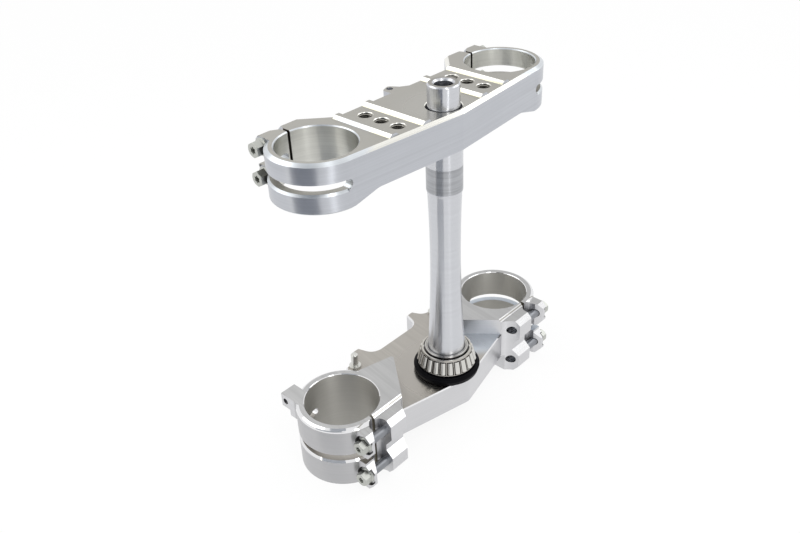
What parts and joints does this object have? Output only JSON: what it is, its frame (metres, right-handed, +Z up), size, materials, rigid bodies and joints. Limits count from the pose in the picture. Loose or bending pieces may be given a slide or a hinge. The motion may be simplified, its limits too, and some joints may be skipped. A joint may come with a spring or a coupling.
{
  "type": "motorcycle triple clamp",
  "caption": "Upper and lower fork clamps joined by a hollow steering stem, with pinch bolts, an open taper roller bearing and its dust seal.",
  "frame": {"origin": "on the steering axis, at the stem's lower end, level with the underside of the lower clamp's beam", "axes": "+Z up the steering axis, +Y to the front wheel, +X to the rider's right"},
  "size_m": [0.2668, 0.1024, 0.2912],
  "materials": {
    "clamp_aluminium": "milled billet, bead blasted on top and brushed at the sides",
    "stem_aluminium": "turned and polished",
    "bearing_steel": "ground",
    "cage_steel": "pressed",
    "bolt_steel": "zinc plated",
    "seal_rubber": "moulded, smooth"
  },
  "bodies": {
    "clamp_set": {"upper_clamp": "clamp_aluminium", "lower_clamp": "clamp_aluminium", "steering_stem": "stem_aluminium", "bearing_cone": "bearing_steel", "dust_seal": "seal_rubber", "upper_pinch_bolt_right_high": "bolt_steel", "upper_pinch_bolt_right_low": "bolt_steel", "lower_pinch_bolt_right_high": "bolt_steel", "lower_pinch_bolt_right_low": "bolt_steel", "locating_stud_right": "bolt_steel", "upper_pinch_bolt_left_high": "bolt_steel", "upper_pinch_bolt_left_low": "bolt_steel", "lower_pinch_bolt_left_high": "bolt_steel", "lower_pinch_bolt_left_low": "bolt_steel", "locating_stud_left": "bolt_steel"},
    "cage": {"bearing_cage": "cage_steel"},
    "roller_01": {"roller_01": "bearing_steel"},
    "roller_02": {"roller_02": "bearing_steel"},
    "roller_03": {"roller_03": "bearing_steel"},
    "roller_04": {"roller_04": "bearing_steel"},
    "roller_05": {"roller_05": "bearing_steel"},
    "roller_06": {"roller_06": "bearing_steel"},
    "roller_07": {"roller_07": "bearing_steel"},
    "roller_08": {"roller_08": "bearing_steel"},
    "roller_09": {"roller_09": "bearing_steel"},
    "roller_10": {"roller_10": "bearing_steel"},
    "roller_11": {"roller_11": "bearing_steel"},
    "roller_12": {"roller_12": "bearing_steel"},
    "roller_13": {"roller_13": "bearing_steel"},
    "roller_14": {"roller_14": "bearing_steel"},
    "roller_15": {"roller_15": "bearing_steel"},
    "roller_16": {"roller_16": "bearing_steel"},
    "roller_17": {"roller_17": "bearing_steel"},
    "roller_18": {"roller_18": "bearing_steel"},
    "roller_19": {"roller_19": "bearing_steel"},
    "roller_20": {"roller_20": "bearing_steel"},
    "roller_21": {"roller_21": "bearing_steel"},
    "roller_22": {"roller_22": "bearing_steel"},
    "roller_23": {"roller_23": "bearing_steel"}
  },
  "joints": [
    {"name": "cage_turn", "type": "hinge", "parent": "clamp_set", "child": "cage", "pos_m": [0, 0, 0.04], "axis": [0, 0, 1], "continuous": true},
    {"name": "roller_01_spin", "type": "hinge", "parent": "cage", "child": "roller_01", "pos_m": [-0.01472, -0.01635, 0.0345], "axis": [0.1562, 0.1735, 0.9724], "continuous": true},
    {"name": "roller_02_spin", "type": "hinge", "parent": "cage", "child": "roller_02", "pos_m": [-0.00976, -0.01971, 0.0345], "axis": [0.1036, 0.2092, 0.9724], "continuous": true},
    {"name": "roller_03_spin", "type": "hinge", "parent": "cage", "child": "roller_03", "pos_m": [-0.00408, -0.02162, 0.0345], "axis": [0.0433, 0.2294, 0.9724], "continuous": true},
    {"name": "roller_04_spin", "type": "hinge", "parent": "cage", "child": "roller_04", "pos_m": [0.0019, -0.02192, 0.0345], "axis": [-0.0202, 0.2326, 0.9724], "continuous": true},
    {"name": "roller_05_spin", "type": "hinge", "parent": "cage", "child": "roller_05", "pos_m": [0.00774, -0.02059, 0.0345], "axis": [-0.0822, 0.2185, 0.9724], "continuous": true},
    {"name": "roller_06_spin", "type": "hinge", "parent": "cage", "child": "roller_06", "pos_m": [0.01301, -0.01774, 0.0345], "axis": [-0.1381, 0.1882, 0.9724], "continuous": true},
    {"name": "roller_07_spin", "type": "hinge", "parent": "cage", "child": "roller_07", "pos_m": [0.01732, -0.01357, 0.0345], "axis": [-0.1837, 0.144, 0.9724], "continuous": true},
    {"name": "roller_08_spin", "type": "hinge", "parent": "cage", "child": "roller_08", "pos_m": [0.02033, -0.0084, 0.0345], "axis": [-0.2158, 0.0891, 0.9724], "continuous": true},
    {"name": "roller_09_spin", "type": "hinge", "parent": "cage", "child": "roller_09", "pos_m": [0.02185, -0.0026, 0.0345], "axis": [-0.2318, 0.0276, 0.9724], "continuous": true},
    {"name": "roller_10_spin", "type": "hinge", "parent": "cage", "child": "roller_10", "pos_m": [0.02174, 0.00339, 0.0345], "axis": [-0.2307, -0.036, 0.9724], "continuous": true},
    {"name": "roller_11_spin", "type": "hinge", "parent": "cage", "child": "roller_11", "pos_m": [0.02002, 0.00913, 0.0345], "axis": [-0.2124, -0.0969, 0.9724], "continuous": true},
    {"name": "roller_12_spin", "type": "hinge", "parent": "cage", "child": "roller_12", "pos_m": [0.01681, 0.01419, 0.0345], "axis": [-0.1784, -0.1506, 0.9724], "continuous": true},
    {"name": "roller_13_spin", "type": "hinge", "parent": "cage", "child": "roller_13", "pos_m": [0.01236, 0.0182, 0.0345], "axis": [-0.1311, -0.1931, 0.9724], "continuous": true},
    {"name": "roller_14_spin", "type": "hinge", "parent": "cage", "child": "roller_14", "pos_m": [0.00699, 0.02086, 0.0345], "axis": [-0.0742, -0.2214, 0.9724], "continuous": true},
    {"name": "roller_15_spin", "type": "hinge", "parent": "cage", "child": "roller_15", "pos_m": [0.0011, 0.02197, 0.0345], "axis": [-0.0117, -0.2332, 0.9724], "continuous": true},
    {"name": "roller_16_spin", "type": "hinge", "parent": "cage", "child": "roller_16", "pos_m": [-0.00487, 0.02145, 0.0345], "axis": [0.0517, -0.2277, 0.9724], "continuous": true},
    {"name": "roller_17_spin", "type": "hinge", "parent": "cage", "child": "roller_17", "pos_m": [-0.01048, 0.01935, 0.0345], "axis": [0.1112, -0.2053, 0.9724], "continuous": true},
    {"name": "roller_18_spin", "type": "hinge", "parent": "cage", "child": "roller_18", "pos_m": [-0.01531, 0.0158, 0.0345], "axis": [0.1624, -0.1677, 0.9724], "continuous": true},
    {"name": "roller_19_spin", "type": "hinge", "parent": "cage", "child": "roller_19", "pos_m": [-0.019, 0.01109, 0.0345], "axis": [0.2016, -0.1176, 0.9724], "continuous": true},
    {"name": "roller_20_spin", "type": "hinge", "parent": "cage", "child": "roller_20", "pos_m": [-0.02129, 0.00555, 0.0345], "axis": [0.2259, -0.0589, 0.9724], "continuous": true},
    {"name": "roller_21_spin", "type": "hinge", "parent": "cage", "child": "roller_21", "pos_m": [-0.022, -0.0004, 0.0345], "axis": [0.2334, 0.0043, 0.9724], "continuous": true},
    {"name": "roller_22_spin", "type": "hinge", "parent": "cage", "child": "roller_22", "pos_m": [-0.02107, -0.00632, 0.0345], "axis": [0.2236, 0.0671, 0.9724], "continuous": true},
    {"name": "roller_23_spin", "type": "hinge", "parent": "cage", "child": "roller_23", "pos_m": [-0.01859, -0.01177, 0.0345], "axis": [0.1972, 0.1249, 0.9724], "continuous": true}
  ],
  "couplings": [
    {"joint": "roller_01_spin", "follows": "cage_turn", "ratio": 7.1758},
    {"joint": "roller_02_spin", "follows": "cage_turn", "ratio": 7.1758},
    {"joint": "roller_03_spin", "follows": "cage_turn", "ratio": 7.1758},
    {"joint": "roller_04_spin", "follows": "cage_turn", "ratio": 7.1758},
    {"joint": "roller_05_spin", "follows": "cage_turn", "ratio": 7.1758},
    {"joint": "roller_06_spin", "follows": "cage_turn", "ratio": 7.1758},
    {"joint": "roller_07_spin", "follows": "cage_turn", "ratio": 7.1758},
    {"joint": "roller_08_spin", "follows": "cage_turn", "ratio": 7.1758},
    {"joint": "roller_09_spin", "follows": "cage_turn", "ratio": 7.1758},
    {"joint": "roller_10_spin", "follows": "cage_turn", "ratio": 7.1758},
    {"joint": "roller_11_spin", "follows": "cage_turn", "ratio": 7.1758},
    {"joint": "roller_12_spin", "follows": "cage_turn", "ratio": 7.1758},
    {"joint": "roller_13_spin", "follows": "cage_turn", "ratio": 7.1758},
    {"joint": "roller_14_spin", "follows": "cage_turn", "ratio": 7.1758},
    {"joint": "roller_15_spin", "follows": "cage_turn", "ratio": 7.1758},
    {"joint": "roller_16_spin", "follows": "cage_turn", "ratio": 7.1758},
    {"joint": "roller_17_spin", "follows": "cage_turn", "ratio": 7.1758},
    {"joint": "roller_18_spin", "follows": "cage_turn", "ratio": 7.1758},
    {"joint": "roller_19_spin", "follows": "cage_turn", "ratio": 7.1758},
    {"joint": "roller_20_spin", "follows": "cage_turn", "ratio": 7.1758},
    {"joint": "roller_21_spin", "follows": "cage_turn", "ratio": 7.1758},
    {"joint": "roller_22_spin", "follows": "cage_turn", "ratio": 7.1758},
    {"joint": "roller_23_spin", "follows": "cage_turn", "ratio": 7.1758}
  ]
}
